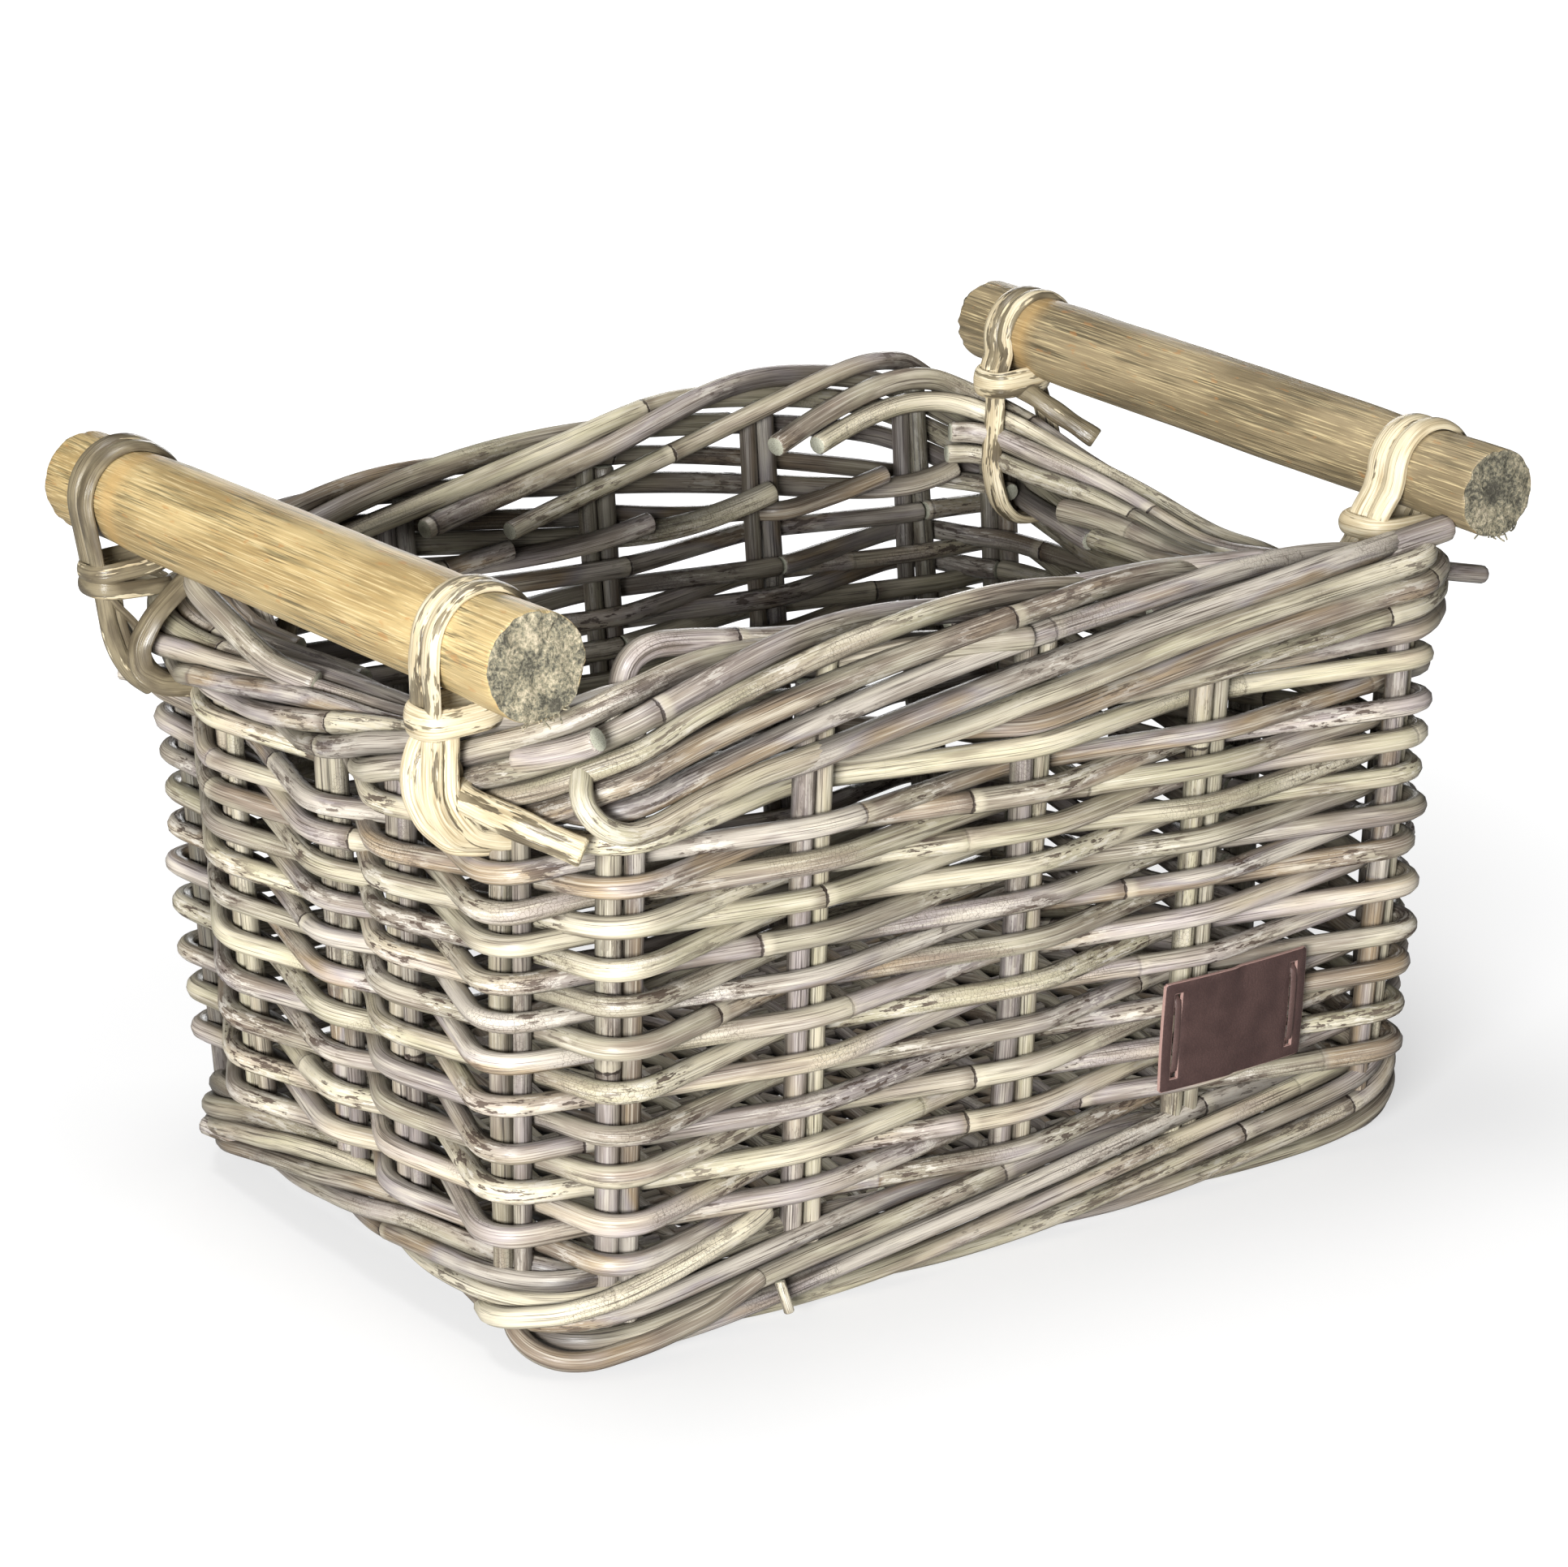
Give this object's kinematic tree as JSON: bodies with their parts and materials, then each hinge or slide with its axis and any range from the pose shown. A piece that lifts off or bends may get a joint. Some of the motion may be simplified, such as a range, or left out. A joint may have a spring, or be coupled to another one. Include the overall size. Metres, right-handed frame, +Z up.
{
  "type": "rattan basket",
  "caption": "Open rectangular basket of woven rattan rods with a twisted rim and foot, round pole handles lashed over both short sides, and a leather label.",
  "frame": {"origin": "on the floor, under the middle of the basket's box", "axes": "+X along the basket's length, from one handle to the other; the label is on the -Y side; +Z up"},
  "size_m": [0.3869, 0.264, 0.2384],
  "materials": {
    "weaver_rattan": "natural, satin",
    "stake_rattan": "natural, matte",
    "border_rattan": "natural, satin",
    "base_rattan": "natural, matte",
    "pole_left_cane": "natural, satin",
    "pole_right_cane": "natural, satin",
    "flat_cane": "natural, satin",
    "label_leather": "smooth, satin",
    "lace_leather": "matte"
  },
  "bodies": {
    "root": {"base_weave": "base_rattan", "foot_rod_1": "border_rattan", "foot_rod_2": "border_rattan", "foot_rod_3": "border_rattan", "label": "label_leather", "label_lace_left": "lace_leather", "label_lace_right": "lace_leather", "lashing_far_left": "flat_cane", "lashing_far_right": "flat_cane", "lashing_near_left": "flat_cane", "lashing_near_right": "flat_cane", "pole_left": "pole_left_cane", "pole_right": "pole_right_cane", "rim_rod_1": "border_rattan", "rim_rod_2": "border_rattan", "rim_rod_3": "border_rattan", "rim_rod_4": "border_rattan", "rim_rod_5": "border_rattan", "rim_rod_6": "border_rattan", "stake_pair_01": "stake_rattan", "stake_pair_02": "stake_rattan", "stake_pair_03": "stake_rattan", "stake_pair_04": "stake_rattan", "stake_pair_05": "stake_rattan", "stake_pair_06": "stake_rattan", "stake_pair_07": "stake_rattan", "stake_pair_08": "stake_rattan", "stake_pair_09": "stake_rattan", "stake_pair_10": "stake_rattan", "stake_pair_11": "stake_rattan", "stake_pair_12": "stake_rattan", "stake_pair_13": "stake_rattan", "stake_pair_14": "stake_rattan", "stake_pair_15": "stake_rattan", "stake_pair_16": "stake_rattan", "stake_pair_17": "stake_rattan", "stake_pair_18": "stake_rattan", "weave_row_01": "weaver_rattan", "weave_row_02": "weaver_rattan", "weave_row_03": "weaver_rattan", "weave_row_04": "weaver_rattan", "weave_row_05": "weaver_rattan", "weave_row_06": "weaver_rattan", "weave_row_07": "weaver_rattan", "weave_row_08": "weaver_rattan", "weave_row_09": "weaver_rattan", "weave_row_10": "weaver_rattan", "weave_row_11": "weaver_rattan", "weave_row_12": "weaver_rattan", "weave_row_13": "weaver_rattan", "weave_row_14": "weaver_rattan", "weave_row_15": "weaver_rattan", "weave_row_16": "weaver_rattan", "weave_row_17": "weaver_rattan", "weave_row_18": "weaver_rattan", "weave_row_19": "weaver_rattan", "weave_row_20": "weaver_rattan", "weave_row_21": "weaver_rattan"}
  },
  "joints": []
}
